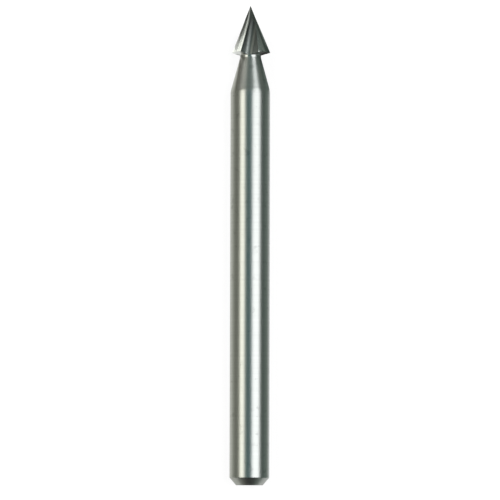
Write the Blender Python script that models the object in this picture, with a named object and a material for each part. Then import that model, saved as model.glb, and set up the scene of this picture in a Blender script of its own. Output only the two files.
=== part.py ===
"""Shank cutter: a cone-shaped rotary cutter, turned and ground from one bar of steel.

The tool is shaped upright, from its flat tail end at z = 0 to its point, and is then laid
down as it comes to rest. There +Y runs along its axis to the point, +Z is up, and the
origin is under its middle, on the surface that it lies on.
"""

import math

import bmesh
import bpy
from mathutils import Matrix, Vector

MM = 0.001

# Whole tool
overall_length = 38.37 * MM

# Shank and its tail end
shank_diameter = 3.175 * MM
tail_chamfer_depth = 0.53 * MM
tail_chamfer_length = 0.60 * MM
tail_edge_radius = 0.05 * MM
chamfer_edge_radius = 0.10 * MM

# Taper and neck
taper_length = 2.73 * MM
shoulder_radius = 1.50 * MM
neck_diameter = 1.68 * MM
neck_length = 0.20 * MM
neck_foot_radius = 0.25 * MM
neck_fillet_radius = 0.045 * MM

# Cutting head: a cone on its point, with a shallow cone as its back face
head_diameter = 3.16 * MM
head_length = 3.80 * MM
point_length = 0.95 * MM
back_angle = math.radians(15.0)

# Teeth: the land behind each edge is ground lower, so that only the edge touches the work
tooth_count = 3
first_edge_azimuth = math.radians(-30.0)
margin_angle = math.radians(8.0)
relief_angle = math.radians(5.0)
heel_angle = math.radians(68.0)

# Flutes: a wheel with a round nose grinds each one in a straight pass up the cone
wheel_nose_radius = 0.50 * MM
wheel_angle = math.radians(84.0)
face_lean = math.radians(5.8)
flute_slope = math.radians(9.5)
flute_skew = math.radians(7.7)
flute_above_neck = 0.005 * MM

# Fineness of the facets
around = 33
corner_steps = 4
head_steps = 18
nose_steps = 12

# Values that follow from the sizes above
shank_radius = shank_diameter / 2
neck_radius = neck_diameter / 2
head_radius = head_diameter / 2
rim_height = overall_length - head_length
neck_top = rim_height - (head_radius - neck_radius) * math.tan(back_angle)
neck_foot = neck_top - neck_length
shoulder_height = neck_foot - taper_length
cone_slope = head_radius / head_length
tooth_pitch = math.tau / tooth_count


def heading(azimuth):
    """The level direction at an azimuth, which runs from -Y towards +X."""
    return Vector((math.sin(azimuth), -math.cos(azimuth), 0.0))


def place(radius, azimuth, height):
    """A point from its distance to the axis, its azimuth and its height."""
    return radius * heading(azimuth) + Vector((0.0, 0.0, height))


# Where the wheel's nose runs: its centre at the level of the rim, and its way up the cone
face_azimuth = first_edge_azimuth - face_lean
heel_azimuth = face_azimuth + wheel_angle
rim_floor = neck_radius + flute_above_neck - math.tan(flute_slope) * (rim_height - neck_top)
nose_reach = rim_floor + wheel_nose_radius
face_offset = head_radius * math.sin(face_lean)
nose_azimuth = face_azimuth + math.asin((wheel_nose_radius + face_offset) / nose_reach)
nose_centre = place(nose_reach, nose_azimuth, rim_height)
wheel_path = (
    Vector((0.0, 0.0, 1.0))
    - math.tan(flute_slope) * heading(nose_azimuth)
    + math.tan(flute_skew) * heading(nose_azimuth + math.pi / 2)
)


def edge_azimuth(height):
    """The first cutting edge's azimuth, where the wheel's flat side cuts the cone.

    The line of the edge runs on, straight up the cone, where the plain point begins.
    """
    height = min(height, overall_length - point_length)
    ahead = heading(face_azimuth + math.pi / 2)
    offset = face_offset + wheel_path.dot(ahead) * (height - rim_height)
    cone_radius = cone_slope * (overall_length - height)
    return face_azimuth + math.asin(offset / cone_radius)


def land_ratio(azimuth, height):
    """The land's radius over the cone's, by its angle behind the nearest edge ahead of it."""
    behind = (edge_azimuth(height) - azimuth) % tooth_pitch
    if behind > heel_angle:
        behind = heel_angle * (tooth_pitch - behind) / (tooth_pitch - heel_angle)
    return 1.0 - math.tan(relief_angle) * max(0.0, behind - margin_angle)


def turned_profile():
    """The profile from the tail to the neck's top as (radius, height), with rounded corners."""
    corners = [
        (shank_radius - tail_chamfer_depth, 0.0, tail_edge_radius),
        (shank_radius, tail_chamfer_length, chamfer_edge_radius),
        (shank_radius, shoulder_height, shoulder_radius),
        (neck_radius, neck_foot, neck_foot_radius),
        (neck_radius, neck_top, neck_fillet_radius),
        (head_radius, rim_height, 0.0),
    ]
    before = Vector((0.0, 0.0))
    profile = []
    for (radius, height, blend), (next_radius, next_height, _) in zip(corners, corners[1:]):
        corner = Vector((radius, height))
        arriving = (corner - before).normalized()
        leaving = (Vector((next_radius, next_height)) - corner).normalized()
        bend = arriving.angle(leaving)
        side = 1.0 if arriving.cross(leaving) > 0 else -1.0
        start = corner - arriving * blend * math.tan(bend / 2)
        centre = start + side * blend * arriving.orthogonal()
        for step in range(corner_steps + 1):
            swing = Matrix.Rotation(side * bend * step / corner_steps, 2)
            profile.append(centre + swing @ (start - centre))
        before = corner
    return profile


def extrude_ring(bm, ring):
    """Extrude a closed loop of edges, and return the new loop's edges and vertices."""
    made = bmesh.ops.extrude_edge_only(bm, edges=ring)["geom"]
    verts = [item for item in made if isinstance(item, bmesh.types.BMVert)]
    new = set(verts)
    edges = [item for item in made if isinstance(item, bmesh.types.BMEdge)]
    return [edge for edge in edges if new.issuperset(edge.verts)], verts


def new_object(name, bm):
    """Close a bmesh's work and put it in the scene as a named object."""
    bmesh.ops.recalc_face_normals(bm, faces=bm.faces)
    mesh = bpy.data.meshes.new(name)
    bm.to_mesh(mesh)
    bm.free()
    made = bpy.data.objects.new(name, mesh)
    bpy.context.scene.collection.objects.link(made)
    return made


def turn_blank():
    """The whole tool before its flutes are ground, with a flat of facets along its underside."""
    bm = bmesh.new()
    profile = turned_profile()
    half_facet = Matrix.Rotation(math.pi / around, 4, "Z")
    bmesh.ops.create_circle(bm, cap_ends=True, segments=around, radius=profile[0].x, matrix=half_facet)
    ring = list(bm.edges)
    for radius, height in profile[1:]:
        ring, verts = extrude_ring(bm, ring)
        for vert in verts:
            vert.co = place(radius, math.atan2(vert.co.x, -vert.co.y), height)

    for step in range(head_steps):
        height = rim_height + head_length * step / head_steps
        cone_radius = cone_slope * (overall_length - height)
        ring, verts = extrude_ring(bm, ring)
        for vert in verts:
            azimuth = math.atan2(vert.co.x, -vert.co.y)
            radius = cone_radius * land_ratio(azimuth, height)
            drop = 0.0 if step else (head_radius - radius) * math.tan(back_angle)
            vert.co = place(radius, azimuth, height - drop)
    ring, verts = extrude_ring(bm, ring)
    bmesh.ops.pointmerge(bm, verts=verts, merge_co=(0.0, 0.0, overall_length))
    return new_object("shank_cutter", bm)


def grinding_wheel():
    """The space that the wheel's rim sweeps for every flute."""
    bm = bmesh.new()
    start_height = (neck_top + neck_foot) / 2
    end_height = overall_length + head_length / 10
    reach = 2 * head_diameter
    centre = nose_centre + wheel_path * (start_height - rim_height)
    outline = [centre + wheel_nose_radius * heading(face_azimuth - math.pi / 2) + reach * heading(face_azimuth)]
    for step in range(nose_steps + 1):
        turned = (math.pi - wheel_angle) * step / nose_steps
        outline.append(centre + wheel_nose_radius * heading(face_azimuth - math.pi / 2 - turned))
    outline.append(outline[-1] + reach * heading(heel_azimuth))
    side = bm.faces.new([bm.verts.new(point) for point in outline])
    swept = bmesh.ops.extrude_face_region(bm, geom=[side])["geom"]
    verts = [item for item in swept if isinstance(item, bmesh.types.BMVert)]
    bmesh.ops.translate(bm, vec=wheel_path * (end_height - start_height), verts=verts)

    first = list(bm.verts) + list(bm.edges) + list(bm.faces)
    for number in range(1, tooth_count):
        copied = bmesh.ops.duplicate(bm, geom=first)["geom"]
        verts = [item for item in copied if isinstance(item, bmesh.types.BMVert)]
        turn = Matrix.Rotation(number * tooth_pitch, 3, "Z")
        bmesh.ops.rotate(bm, cent=(0.0, 0.0, 0.0), matrix=turn, verts=verts)
    wheel = new_object("grinding_wheel", bm)
    wheel.hide_render = True
    wheel.display_type = "WIRE"
    return wheel


def ground_steel():
    """Ground high-speed steel: bright grey with a slight green cast."""
    material = bpy.data.materials.new("ground_steel")
    material.use_nodes = True
    shader = material.node_tree.nodes["Principled BSDF"]
    shader.inputs["Base Color"].default_value = (0.50, 0.51, 0.49, 1.0)
    shader.inputs["Metallic"].default_value = 1.0
    shader.inputs["Roughness"].default_value = 0.25
    return material


for old in list(bpy.data.objects):
    bpy.data.objects.remove(old, do_unlink=True)

cutter = turn_blank()
cutter.data.materials.append(ground_steel())
cutter.data.shade_smooth()
cutter.data.set_sharp_from_angle(angle=math.radians(20.0))

wheel = grinding_wheel()
flutes = cutter.modifiers.new("flutes", "BOOLEAN")
flutes.operation = "DIFFERENCE"
flutes.solver = "EXACT"
flutes.object = wheel

# Lay the tool down on its shank, with the face that was towards -Y on top
laid_down = Matrix.Translation((0.0, -overall_length / 2, shank_radius)) @ Matrix.Rotation(-math.pi / 2, 4, "X")
cutter.matrix_world = laid_down
wheel.matrix_world = laid_down
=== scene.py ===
"""The shank cutter as it looks in a plain white studio, lying on its shank."""

import math

import bmesh
import bpy
from mathutils import Matrix, Vector


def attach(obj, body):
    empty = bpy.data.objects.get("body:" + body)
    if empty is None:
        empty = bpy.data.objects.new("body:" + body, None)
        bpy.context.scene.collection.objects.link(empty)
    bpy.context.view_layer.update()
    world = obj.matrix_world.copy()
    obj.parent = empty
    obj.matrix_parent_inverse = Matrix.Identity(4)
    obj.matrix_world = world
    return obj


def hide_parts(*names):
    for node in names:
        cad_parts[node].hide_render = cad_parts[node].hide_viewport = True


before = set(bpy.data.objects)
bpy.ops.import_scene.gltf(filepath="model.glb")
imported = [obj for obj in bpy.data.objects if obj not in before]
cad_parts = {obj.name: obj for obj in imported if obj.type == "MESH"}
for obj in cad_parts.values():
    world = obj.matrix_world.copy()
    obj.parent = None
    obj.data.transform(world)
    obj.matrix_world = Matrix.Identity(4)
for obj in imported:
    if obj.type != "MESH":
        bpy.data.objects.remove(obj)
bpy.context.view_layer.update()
MM = 0.001

# The cutter is one piece, turned and ground from a bar of high-speed steel. The land behind
# each edge is ground lower, and a wheel with a round nose grinds the flutes up the cone.
# It is shaped upright from its tail end, then laid down with its point towards +Y.
tool_length = 38.37 * MM
shank_radius = 3.175 * MM / 2
tail_chamfer_depth = 0.53 * MM
tail_chamfer_length = 0.60 * MM
tail_edge_radius = 0.05 * MM
chamfer_edge_radius = 0.10 * MM
taper_length = 2.73 * MM
shoulder_radius = 1.50 * MM
neck_radius = 1.68 * MM / 2
neck_length = 0.20 * MM
neck_foot_radius = 0.25 * MM
neck_fillet_radius = 0.045 * MM
head_radius = 3.16 * MM / 2
head_length = 3.80 * MM
point_length = 0.95 * MM
back_angle = math.radians(15.0)
tooth_count = 3
first_edge_azimuth = math.radians(-30.0)
margin_angle = math.radians(8.0)
relief_angle = math.radians(5.0)
heel_angle = math.radians(68.0)
wheel_nose_radius = 0.50 * MM
wheel_angle = math.radians(84.0)
face_lean = math.radians(5.8)
flute_slope = math.radians(9.5)
flute_skew = math.radians(7.7)
flute_above_neck = 0.005 * MM

rim_height = tool_length - head_length
neck_top = rim_height - (head_radius - neck_radius) * math.tan(back_angle)
neck_foot = neck_top - neck_length
shoulder_height = neck_foot - taper_length
cone_slope = head_radius / head_length
tooth_pitch = math.tau / tooth_count
steps_around = 360
steps_up_head = 60
crease_angle = math.radians(8.0)
onto_its_side = Matrix.Rotation(-math.pi / 2, 4, "X")
laid_down = Matrix.Translation((0.0, -tool_length / 2, shank_radius)) @ onto_its_side


def heading(azimuth):
    """The level direction at an azimuth, which runs from -Y towards +X."""
    return Vector((math.sin(azimuth), -math.cos(azimuth), 0.0))


def place(radius, azimuth, height):
    """A point from its distance to the axis, its azimuth and its height."""
    return radius * heading(azimuth) + Vector((0.0, 0.0, height))


# Where the wheel's nose runs: its centre at the level of the rim, and its way up the cone
face_azimuth = first_edge_azimuth - face_lean
heel_azimuth = face_azimuth + wheel_angle
rim_floor = neck_radius + flute_above_neck - math.tan(flute_slope) * (rim_height - neck_top)
nose_reach = rim_floor + wheel_nose_radius
face_offset = head_radius * math.sin(face_lean)
nose_azimuth = face_azimuth + math.asin((wheel_nose_radius + face_offset) / nose_reach)
nose_centre = place(nose_reach, nose_azimuth, rim_height)
wheel_path = (
    Vector((0.0, 0.0, 1.0))
    - math.tan(flute_slope) * heading(nose_azimuth)
    + math.tan(flute_skew) * heading(nose_azimuth + math.pi / 2)
)


def edge_azimuth(height):
    """The first cutting edge's azimuth, which stays as it is where the plain point begins."""
    height = min(height, tool_length - point_length)
    ahead = heading(face_azimuth + math.pi / 2)
    offset = face_offset + wheel_path.dot(ahead) * (height - rim_height)
    cone_radius = cone_slope * (tool_length - height)
    return face_azimuth + math.asin(offset / cone_radius)


def land_ratio(azimuth, height):
    """The land's radius over the cone's, by its angle behind the nearest edge ahead of it."""
    behind = (edge_azimuth(height) - azimuth) % tooth_pitch
    if behind > heel_angle:
        behind = heel_angle * (tooth_pitch - behind) / (tooth_pitch - heel_angle)
    return 1.0 - math.tan(relief_angle) * max(0.0, behind - margin_angle)


def turned_profile(corner_steps=16):
    """The profile from the tail to the neck's top as (radius, height), with rounded corners."""
    corners = [
        (shank_radius - tail_chamfer_depth, 0.0, tail_edge_radius),
        (shank_radius, tail_chamfer_length, chamfer_edge_radius),
        (shank_radius, shoulder_height, shoulder_radius),
        (neck_radius, neck_foot, neck_foot_radius),
        (neck_radius, neck_top, neck_fillet_radius),
        (head_radius, rim_height, 0.0),
    ]
    before = Vector((0.0, 0.0))
    profile = []
    for (radius, height, blend), (next_radius, next_height, _) in zip(corners, corners[1:]):
        corner = Vector((radius, height))
        arriving = (corner - before).normalized()
        leaving = (Vector((next_radius, next_height)) - corner).normalized()
        bend = arriving.angle(leaving)
        side = 1.0 if arriving.cross(leaving) > 0 else -1.0
        start = corner - arriving * blend * math.tan(bend / 2)
        centre = start + side * blend * arriving.orthogonal()
        for step in range(corner_steps + 1):
            swing = Matrix.Rotation(side * bend * step / corner_steps, 2)
            profile.append(centre + swing @ (start - centre))
        before = corner
    return profile


def extrude_ring(bm, ring):
    """Extrude a closed loop of edges, and return the new loop's edges and vertices."""
    made = bmesh.ops.extrude_edge_only(bm, edges=ring)["geom"]
    verts = [item for item in made if isinstance(item, bmesh.types.BMVert)]
    new = set(verts)
    edges = [item for item in made if isinstance(item, bmesh.types.BMEdge)]
    return [edge for edge in edges if new.issuperset(edge.verts)], verts


def new_object(name, bm, materials):
    """Close a bmesh's work and put it in the scene as a smooth object with its materials."""
    bmesh.ops.recalc_face_normals(bm, faces=bm.faces)
    mesh = bpy.data.meshes.new(name)
    bm.to_mesh(mesh)
    bm.free()
    mesh.shade_smooth()
    for material in materials:
        mesh.materials.append(material)
    made = bpy.data.objects.new(name, mesh)
    bpy.context.scene.collection.objects.link(made)
    return made


def turn_blank(materials):
    """The whole tool before its flutes are ground, with its lands already relieved."""
    bm = bmesh.new()
    profile = turned_profile()
    half_facet = Matrix.Rotation(math.pi / steps_around, 4, "Z")
    bmesh.ops.create_circle(
        bm, cap_ends=True, segments=steps_around, radius=profile[0].x, matrix=half_facet
    )
    ring = list(bm.edges)
    for radius, height in profile[1:]:
        ring, verts = extrude_ring(bm, ring)
        for vert in verts:
            vert.co = place(radius, math.atan2(vert.co.x, -vert.co.y), height)

    for step in range(steps_up_head):
        height = rim_height + head_length * step / steps_up_head
        cone_radius = cone_slope * (tool_length - height)
        ring, verts = extrude_ring(bm, ring)
        for vert in verts:
            azimuth = math.atan2(vert.co.x, -vert.co.y)
            radius = cone_radius * land_ratio(azimuth, height)
            drop = 0.0 if step else (head_radius - radius) * math.tan(back_angle)
            vert.co = place(radius, azimuth, height - drop)
    ring, verts = extrude_ring(bm, ring)
    bmesh.ops.pointmerge(bm, verts=verts, merge_co=(0.0, 0.0, tool_length))
    for face in bm.faces:
        if face.calc_center_median().z > rim_height:
            face.material_index = 1
    return new_object("cutter", bm, materials)


def grinding_wheel(materials, nose_steps=64):
    """The space that the wheel's rim sweeps for every flute."""
    bm = bmesh.new()
    start_height = (neck_top + neck_foot) / 2
    end_height = tool_length + head_length / 10
    reach = 4 * head_radius
    centre = nose_centre + wheel_path * (start_height - rim_height)
    face_side = face_azimuth - math.pi / 2
    face_start = centre + wheel_nose_radius * heading(face_side)
    outline = [face_start + reach * heading(face_azimuth)]
    for step in range(nose_steps + 1):
        turned = (math.pi - wheel_angle) * step / nose_steps
        outline.append(centre + wheel_nose_radius * heading(face_side - turned))
    outline.append(outline[-1] + reach * heading(heel_azimuth))
    side = bm.faces.new([bm.verts.new(point) for point in outline])
    swept = bmesh.ops.extrude_face_region(bm, geom=[side])["geom"]
    verts = [item for item in swept if isinstance(item, bmesh.types.BMVert)]
    bmesh.ops.translate(bm, vec=wheel_path * (end_height - start_height), verts=verts)

    first = list(bm.verts) + list(bm.edges) + list(bm.faces)
    for number in range(1, tooth_count):
        copied = bmesh.ops.duplicate(bm, geom=first)["geom"]
        verts = [item for item in copied if isinstance(item, bmesh.types.BMVert)]
        turn = Matrix.Rotation(number * tooth_pitch, 3, "Z")
        bmesh.ops.rotate(bm, cent=(0.0, 0.0, 0.0), matrix=turn, verts=verts)
    return new_object("grinding_wheel", bm, materials)


def times(nodes, links, colour, factor):
    """A colour made darker or lighter by a factor."""
    product = nodes.new("ShaderNodeMix")
    product.data_type = "RGBA"
    product.blend_type = "MULTIPLY"
    product.inputs["Factor"].default_value = 1.0
    links.new(colour, product.inputs["A"])
    links.new(factor, product.inputs["B"])
    return product.outputs["Result"]


def change_with(nodes, links, value, from_range, to_range):
    """A value that goes from one end of its range to the other as another value does."""
    change = nodes.new("ShaderNodeMapRange")
    change.inputs["From Min"].default_value = from_range[0]
    change.inputs["From Max"].default_value = from_range[1]
    change.inputs["To Min"].default_value = to_range[0]
    change.inputs["To Max"].default_value = to_range[1]
    links.new(value, change.inputs["Value"])
    return change.outputs["Result"]


def steel_finish(name, colour, roughness, grain, depth, painted_shade_at_point=1.0):
    """Bare ground steel.

    The grain is how many marks there are to a metre along X, Y and Z, and the depth is that
    of the deepest marks. Small stains lie over them, and a painted shade may darken the tone
    along the head towards the point, to dim its reflections there.
    """
    material = bpy.data.materials.new(name)
    material.use_nodes = True
    nodes, links = material.node_tree.nodes, material.node_tree.links
    shader = nodes["Principled BSDF"]
    shader.inputs["Metallic"].default_value = 1.0
    on_tool = nodes.new("ShaderNodeTexCoord").outputs["Object"]

    # The wheel's marks stand in relief, and the steel is duller where they lie deep
    lines = nodes.new("ShaderNodeMapping")
    lines.inputs["Scale"].default_value = grain
    marks = nodes.new("ShaderNodeTexNoise")
    marks.inputs["Scale"].default_value = 1.0
    marks.inputs["Detail"].default_value = 4.0
    marks.inputs["Roughness"].default_value = 0.6
    bump = nodes.new("ShaderNodeBump")
    bump.inputs["Strength"].default_value = 1.0
    bump.inputs["Distance"].default_value = depth
    links.new(on_tool, lines.inputs["Vector"])
    links.new(lines.outputs["Vector"], marks.inputs["Vector"])
    links.new(marks.outputs["Fac"], bump.inputs["Height"])
    links.new(bump.outputs["Normal"], shader.inputs["Normal"])
    height = marks.outputs["Fac"]
    dullness = [roughness * share for share in dull_by_mark]
    by_mark = change_with(nodes, links, height, low_to_high_mark, dullness)
    links.new(by_mark, shader.inputs["Roughness"])

    # Faint stains of handling and of coolant
    stains = nodes.new("ShaderNodeTexNoise")
    stains.inputs["Scale"].default_value = stains_per_metre
    stains.inputs["Detail"].default_value = 3.0
    links.new(on_tool, stains.inputs["Vector"])
    stained = nodes.new("ShaderNodeMix")
    stained.data_type = "RGBA"
    stained.inputs["A"].default_value = (*colour, 1.0)
    stained.inputs["B"].default_value = (*[stain_tone * value for value in colour], 1.0)
    spots = change_with(nodes, links, stains.outputs["Fac"], stain_edge, (0.0, 1.0))
    links.new(spots, stained.inputs["Factor"])

    # The tone follows the marks. A painted shade darkens it from the rim of the head towards the
    # point, to dim the reflections there
    along = nodes.new("ShaderNodeSeparateXYZ")
    links.new(on_tool, along.inputs["Vector"])
    lighter = change_with(nodes, links, height, low_to_high_mark, light_by_mark)
    shaded_to_point = change_with(nodes, links, along.outputs["Y"], painted_shade_span, (1.0, painted_shade_at_point))
    marked = times(nodes, links, stained.outputs["Result"], lighter)
    links.new(times(nodes, links, marked, shaded_to_point), shader.inputs["Base Color"])
    return material


micron = 0.001 * MM
low_to_high_mark = (0.3, 0.7)
dull_by_mark = (1.08, 0.92)
light_by_mark = (0.94, 1.04)
stains_per_metre = 1800.0
stain_tone = 0.82
stain_edge = (0.62, 0.72)
# The painted shade on the head deepens from the rim to its darkest this far before the tip
painted_shade_full_before_tip = 0.28 * head_length
painted_shade_span = (tool_length / 2 - head_length, tool_length / 2 - painted_shade_full_before_tip)

# Fine rings run round the shank, the taper and the neck. The lands are brighter, and the
# flutes are duller, with the wheel's marks along them. The flutes' darker colour is painted
# shade, and painted shade darkens the lands and flutes towards the point.
ground_steel = steel_finish(
    "ground_steel",
    (0.56, 0.57, 0.55),
    roughness=0.31,
    grain=(0.0, 5000.0, 0.0),
    depth=0.35 * micron,
)
land_steel = steel_finish(
    "land_steel",
    (0.54, 0.56, 0.54),
    roughness=0.21,
    grain=(9000.0, 900.0, 9000.0),
    depth=0.2 * micron,
    painted_shade_at_point=0.36,
)
flute_steel = steel_finish(
    "flute_steel",
    # Darker than the other steel: painted shade in the flutes
    (0.30, 0.32, 0.305),
    roughness=0.42,
    grain=(12000.0, 900.0, 12000.0),
    depth=0.6 * micron,
    painted_shade_at_point=0.15,
)

cutter = turn_blank([ground_steel, land_steel])
wheel = grinding_wheel([flute_steel])
flutes = cutter.modifiers.new("flutes", "BOOLEAN")
flutes.operation = "DIFFERENCE"
flutes.solver = "EXACT"
flutes.object = wheel
flutes.material_mode = "TRANSFER"
ground = cutter.evaluated_get(bpy.context.evaluated_depsgraph_get())
cutter_mesh = bpy.data.meshes.new_from_object(ground)
cutter.modifiers.clear()
cutter.data = cutter_mesh
bpy.data.objects.remove(wheel)
cutter_mesh.transform(laid_down)
cutter_mesh.set_sharp_from_angle(angle=crease_angle)
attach(cutter, "root")
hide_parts("shank_cutter")

# The floor is a plain white sheet that runs out of view. It is lit near the tool, where it
# holds the tool's soft shadow, and fades to an even white further out.
floor_half_width = 3.0
shadow_reach = 0.06
fade_end = 0.14
floor_glow = 0.78
floor_colour = 0.22
bounce_colour = 0.8

bm = bmesh.new()
bmesh.ops.create_grid(bm, x_segments=1, y_segments=1, size=floor_half_width)
floor_mesh = bpy.data.meshes.new("floor")
bm.to_mesh(floor_mesh)
bm.free()
floor = bpy.data.objects.new("floor", floor_mesh)
bpy.context.scene.collection.objects.link(floor)


def choose_by_ray(nodes, links, light, look):
    """One shader for the light that a surface gives, and one for its look.

    The camera and the bare steel see the look.
    """
    path = nodes.new("ShaderNodeLightPath")
    seen = nodes.new("ShaderNodeMath")
    seen.operation = "MAXIMUM"
    choice = nodes.new("ShaderNodeMixShader")
    links.new(path.outputs["Is Camera Ray"], seen.inputs[0])
    links.new(path.outputs["Is Glossy Ray"], seen.inputs[1])
    links.new(seen.outputs[0], choice.inputs[0])
    links.new(light, choice.inputs[1])
    links.new(look, choice.inputs[2])
    return choice.outputs[0]


def floor_white():
    """A matt white that turns to an even white away from the tool."""
    material = bpy.data.materials.new("floor_white")
    material.use_nodes = True
    nodes, links = material.node_tree.nodes, material.node_tree.links
    nodes.clear()
    place_on_floor = nodes.new("ShaderNodeTexCoord")
    distance = nodes.new("ShaderNodeVectorMath")
    distance.operation = "LENGTH"
    fade = nodes.new("ShaderNodeMapRange")
    fade.interpolation_type = "SMOOTHSTEP"
    fade.inputs["From Min"].default_value = shadow_reach
    fade.inputs["From Max"].default_value = fade_end
    paint = nodes.new("ShaderNodeBsdfDiffuse")
    paint.inputs["Color"].default_value = (floor_colour, floor_colour, floor_colour, 1.0)
    glow = nodes.new("ShaderNodeEmission")
    glow.inputs["Strength"].default_value = floor_glow
    near_tool = nodes.new("ShaderNodeAddShader")
    far_off = nodes.new("ShaderNodeEmission")
    look = nodes.new("ShaderNodeMixShader")
    matt = nodes.new("ShaderNodeBsdfDiffuse")
    matt.inputs["Color"].default_value = (bounce_colour, bounce_colour, bounce_colour, 1.0)
    out = nodes.new("ShaderNodeOutputMaterial")
    links.new(place_on_floor.outputs["Object"], distance.inputs[0])
    links.new(distance.outputs["Value"], fade.inputs["Value"])
    links.new(paint.outputs[0], near_tool.inputs[0])
    links.new(glow.outputs[0], near_tool.inputs[1])
    links.new(fade.outputs["Result"], look.inputs[0])
    links.new(near_tool.outputs[0], look.inputs[1])
    links.new(far_off.outputs[0], look.inputs[2])
    chosen = choose_by_ray(nodes, links, matt.outputs[0], look.outputs[0])
    links.new(chosen, out.inputs["Surface"])
    return material


floor.data.materials.append(floor_white())

# The backdrop is the world's own white. It shows to the camera and in the steel, and its
# light on the scene is softer.
backdrop_light = 0.6

world = bpy.data.worlds.new("backdrop")
bpy.context.scene.world = world
world.use_nodes = True
nodes, links = world.node_tree.nodes, world.node_tree.links
backdrop = nodes["Background"]
backdrop.inputs["Color"].default_value = (1.0, 1.0, 1.0, 1.0)
backdrop.inputs["Strength"].default_value = 1.0
soft_light = nodes.new("ShaderNodeBackground")
soft_light.inputs["Strength"].default_value = backdrop_light
chosen = choose_by_ray(nodes, links, soft_light.outputs[0], backdrop.outputs[0])
links.new(chosen, nodes["World Output"].inputs["Surface"])

# Two soft lamps light the floor and the tool from the left and right. What the bare steel
# mirrors is a ring of bright and dark cards around it, and cards that lie on the floor.
studio_radius = 0.6


def toward(azimuth, pitch):
    """A direction from the tool, in degrees.

    The azimuth turns about the tool's axis from straight up towards +X, and the pitch leans
    from there towards the tool's point.
    """
    azimuth, pitch = math.radians(azimuth), math.radians(pitch)
    level = Vector((math.sin(azimuth), 0.0, math.cos(azimuth)))
    return level * math.cos(pitch) + Vector((0.0, math.sin(pitch), 0.0))


def soft_lamp(name, azimuth, pitch, size, watts):
    """A square area lamp that faces the tool and doesn't show in the steel."""
    lamp = bpy.data.lights.new(name, "AREA")
    lamp.size = size
    lamp.energy = watts
    hung = bpy.data.objects.new(name, lamp)
    direction = toward(azimuth, pitch)
    turned = direction.to_track_quat("Z", "Y").to_matrix().to_4x4()
    hung.matrix_world = Matrix.Translation(direction * studio_radius) @ turned
    hung.visible_camera = False
    hung.visible_glossy = False
    bpy.context.scene.collection.objects.link(hung)


def place_card(name, bm, colour):
    """Put a card of an even tone in the studio, where only the steel sees it."""
    mesh = bpy.data.meshes.new(name)
    bm.to_mesh(mesh)
    bm.free()
    material = bpy.data.materials.new(name)
    material.use_nodes = True
    nodes = material.node_tree.nodes
    nodes.clear()
    tone = nodes.new("ShaderNodeEmission")
    tone.inputs["Color"].default_value = (*colour, 1.0)
    out = nodes.new("ShaderNodeOutputMaterial")
    material.node_tree.links.new(tone.outputs[0], out.inputs["Surface"])
    mesh.materials.append(material)
    card = bpy.data.objects.new(name, mesh)
    card.visible_camera = False
    card.visible_diffuse = False
    card.visible_shadow = False
    bpy.context.scene.collection.objects.link(card)


def ring_card(name, azimuths, pitches, colour, steps=12):
    """A curved card that fills a patch of the ring around the tool."""
    bm = bmesh.new()
    bmesh.ops.create_grid(bm, x_segments=steps, y_segments=steps, size=0.5)
    for vert in bm.verts:
        azimuth = sum(azimuths) / 2 + vert.co.x * (azimuths[1] - azimuths[0])
        pitch = sum(pitches) / 2 + vert.co.y * (pitches[1] - pitches[0])
        vert.co = studio_radius * toward(azimuth, pitch)
    place_card(name, bm, colour)


def floor_card(name, corners, colour):
    """A card that lies on the floor, with its corners in millimetres."""
    bm = bmesh.new()
    bm.faces.new([bm.verts.new((x * MM, y * MM, card_rise)) for x, y in corners])
    place_card(name, bm, colour)


def floor_strip(name, xs, ys, colour):
    """A card on the floor with its sides along X and Y."""
    floor_card(name, [(xs[0], ys[0]), (xs[1], ys[0]), (xs[1], ys[1]), (xs[0], ys[1])], colour)


soft_lamp("left_lamp", azimuth=-48.0, pitch=10.0, size=0.5, watts=3.2)
soft_lamp("right_lamp", azimuth=35.0, pitch=10.0, size=0.5, watts=3.2)

# The shank mirrors the middle of the ring, and the taper mirrors what leans further towards
# the point. Each of them shows a bright strip to the left and to the right of a dark middle.
left_dark = (0.20, 0.21, 0.18)
right_dark = (0.04, 0.07, 0.055)
ring_card("left_strip", (-59.0, -34.0), (-22.0, 23.0), (2.10, 2.08, 1.86))
ring_card("left_strip_edge", (-34.0, -29.0), (-22.0, 23.0), (1.10, 1.12, 1.04))
ring_card("left_strip_end", (-59.0, -34.0), (23.0, 38.5), left_dark)
ring_card("left_strip_end_edge", (-34.0, -29.0), (23.0, 35.5), left_dark)
ring_card("right_strip", (13.0, 58.0), (-22.0, 12.0), (2.05, 2.09, 2.12))
ring_card("right_strip_rise", (13.0, 58.0), (12.0, 20.0), (1.15, 1.2, 1.2))
ring_card("right_strip_end", (22.0, 56.0), (20.0, 30.0), (2.5, 2.56, 2.58))
ring_card("right_strip_top", (22.0, 51.0), (30.0, 35.5), (2.6, 2.66, 2.68))
ring_card("right_strip_side", (51.0, 58.0), (30.0, 35.5), right_dark)
ring_card("right_strip_sill", (56.0, 58.0), (20.0, 30.0), right_dark)
ring_card("right_strip_corner", (13.0, 22.0), (20.0, 35.5), (0.30, 0.36, 0.36))
ring_card("centre_card", (-29.0, 13.0), (-22.0, 19.0), (0.0, 0.085, 0.09))
ring_card("centre_end", (-29.0, 13.0), (19.0, 26.0), (0.26, 0.31, 0.30))
ring_card("centre_top", (-29.0, 13.0), (26.0, 35.5), (0.0, 0.05, 0.045))
ring_card("left_card", (-92.0, -59.0), (-34.0, 20.0), (0.15, 0.16, 0.13))
ring_card("left_card_end", (-92.0, -59.0), (20.0, 38.5), (0.05, 0.05, 0.04))
ring_card("low_card", (-59.0, 58.0), (-34.0, -22.0), (0.04, 0.05, 0.05))
ring_card("right_card", (58.0, 92.0), (-34.0, 35.5), right_dark)

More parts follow.
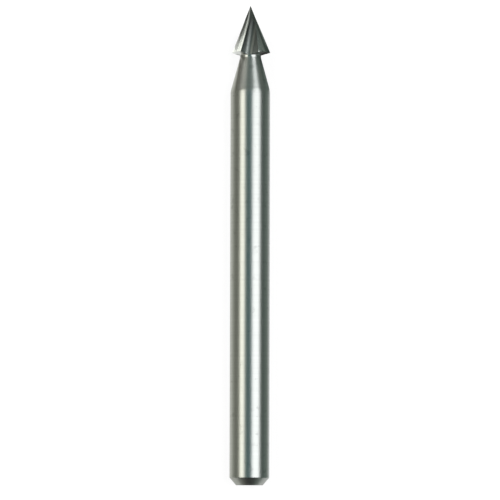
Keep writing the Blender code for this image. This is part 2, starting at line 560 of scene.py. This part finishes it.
# The head's cone leans more than the taper, so it mirrors the next row of the ring. The ends
# of the ring close it for the flutes and for the chamfer of the tail.
head_bright = (2.4, 2.4, 2.26)
head_soft = (0.75, 0.77, 0.73)
ring_card("high_left_strip", (-92.0, -60.5), (38.5, 50.0), head_bright)
ring_card("high_left_top", (-92.0, -60.5), (50.0, 56.0), head_soft)
ring_card("high_left_card", (-60.5, -34.0), (38.5, 56.0), head_soft)
ring_card("high_card", (-34.0, 92.0), (35.5, 56.0), (0.21, 0.25, 0.23))
ring_card("point_card", (-92.0, 92.0), (56.0, 89.0), (0.10, 0.12, 0.11))
ring_card("tail_card", (-92.0, 92.0), (-89.0, -34.0), (0.03, 0.03, 0.03))

# The tool's sides mirror the floor, so cards lie on it from beside the tool to out of sight.
# Three bright ones left of the head make a wedge between a low and a high line. Up to 8 mm
# from the tool it has a softer upper half, above a middle line.
card_rise = 0.02 * MM
far_edge = 600.0
tail_y, rim_y = -19.0, 15.2
near_left, far_left = -1.75, -8.0
near_right, far_right = 1.9, 5.0
wedge_low = [(-2.0, 15.6), (-4.0, 16.5), (-8.0, 19.1), (-16.0, 25.4), (-60.0, 59.0)]
wedge_middle = [(-1.0, 16.2), (-2.0, 16.3), (-4.0, 17.2), (-8.0, 20.4)]
wedge_high = [(-1.0, 17.3), (-3.5, 17.9), (-5.5, 19.4), (-8.0, 22.0), (-16.0, 28.4), (-60.0, 64.0)]
below_wedge = [(-far_edge, rim_y), (near_left, rim_y), *wedge_low, (-far_edge, 474.0)]
above_wedge = [(0.8, 17.3), (0.8, far_edge), (-far_edge, far_edge), (-far_edge, 510.0)]
right_far_tone = (0.16, 0.20, 0.18)
tail_far_tone = (0.14, 0.15, 0.14)

floor_strip("left_near", (-4.5, near_left), (tail_y, rim_y), (0.74, 0.75, 0.70))
floor_strip("left_middle", (far_left, -4.5), (tail_y, rim_y), (0.53, 0.54, 0.48))
floor_strip("left_far", (-far_edge, far_left), (-far_edge, rim_y), (0.28, 0.29, 0.25))
floor_card("left_taper", below_wedge, (0.12, 0.12, 0.10))
floor_strip("right_near", (near_right, 3.0), (tail_y, 12.8), (1.00, 1.02, 1.02))
floor_strip("right_middle", (3.0, far_right), (tail_y, 12.8), (0.42, 0.46, 0.44))
floor_strip("right_taper", (near_right, far_right), (12.8, rim_y), right_far_tone)
floor_strip("right_far", (far_right, far_edge), (-far_edge, rim_y), right_far_tone)
floor_strip("right_point", (3.2, far_edge), (rim_y, 22.0), (0.07, 0.09, 0.08))
floor_strip("right_point_end", (3.2, far_edge), (22.0, far_edge), (0.24, 0.28, 0.25))
floor_strip("right_point_near", (0.8, 3.2), (rim_y, 17.0), (0.05, 0.07, 0.06))
floor_strip("right_point_far", (0.8, 3.2), (17.0, far_edge), (0.22, 0.26, 0.24))
floor_card("left_wedge", [*wedge_low[:3], *reversed(wedge_middle)], (1.70, 1.70, 1.62))
floor_card("left_wedge_top", [*wedge_middle, *reversed(wedge_high[:4])], (0.80, 0.80, 0.77))
floor_card("left_wedge_end", [*wedge_low[2:], *reversed(wedge_high[3:])], head_bright)
floor_card("left_point", [*above_wedge, *reversed(wedge_high)], (0.25, 0.26, 0.24))
floor_strip("tail_middle", (-1.6, 1.6), (-far_edge, -19.2), (0.01, 0.02, 0.02))
floor_strip("tail_left", (far_left, -1.6), (-26.0, tail_y), (0.60, 0.61, 0.57))
floor_strip("tail_right", (1.6, far_right), (-26.0, tail_y), (0.66, 0.68, 0.66))
floor_strip("tail_left_far", (far_left, -1.6), (-far_edge, -26.0), tail_far_tone)
floor_strip("tail_right_far", (1.6, far_right), (-far_edge, -26.0), tail_far_tone)

# The undersides of the taper and of the head's rim mirror the floor right under them
floor_strip("left_under", (near_left, -1.3), (13.9, 15.3), (1.25, 1.27, 1.25))
floor_strip("left_under_near", (-1.3, -0.9), (13.6, 14.5), (1.35, 1.37, 1.35))
floor_strip("left_under_rim", (-1.3, -0.9), (14.5, 15.3), (0.3, 0.31, 0.3))
floor_strip("right_under", (0.3, near_right), (13.0, rim_y), (0.01, 0.01, 0.01))

# The camera looks down on the tool from a foot above its tail. Its long lens shows the
# tool's whole length at nearly one scale.
focal_length = 270.9
sensor_width = 36.0
camera_height = 0.300
camera_from_tail = 0.001
aim_from_tail = 0.018752
camera_roll = math.radians(0.15)
camera_place = Vector((0.0, camera_from_tail - tool_length / 2, camera_height + shank_radius))
aim = Vector((0.0, aim_from_tail - tool_length / 2, shank_radius))

lens = bpy.data.cameras.new("camera")
lens.sensor_width = sensor_width
lens.lens = focal_length
lens.clip_start = 0.01
lens.clip_end = 20.0
camera = bpy.data.objects.new("camera", lens)
facing = (aim - camera_place).to_track_quat("-Z", "Y").to_matrix().to_4x4()
turned = facing @ Matrix.Rotation(camera_roll, 4, "Z")
camera.matrix_world = Matrix.Translation(camera_place) @ turned
bpy.context.scene.collection.objects.link(camera)
bpy.context.scene.camera = camera
bpy.context.scene.view_settings.view_transform = "Standard"
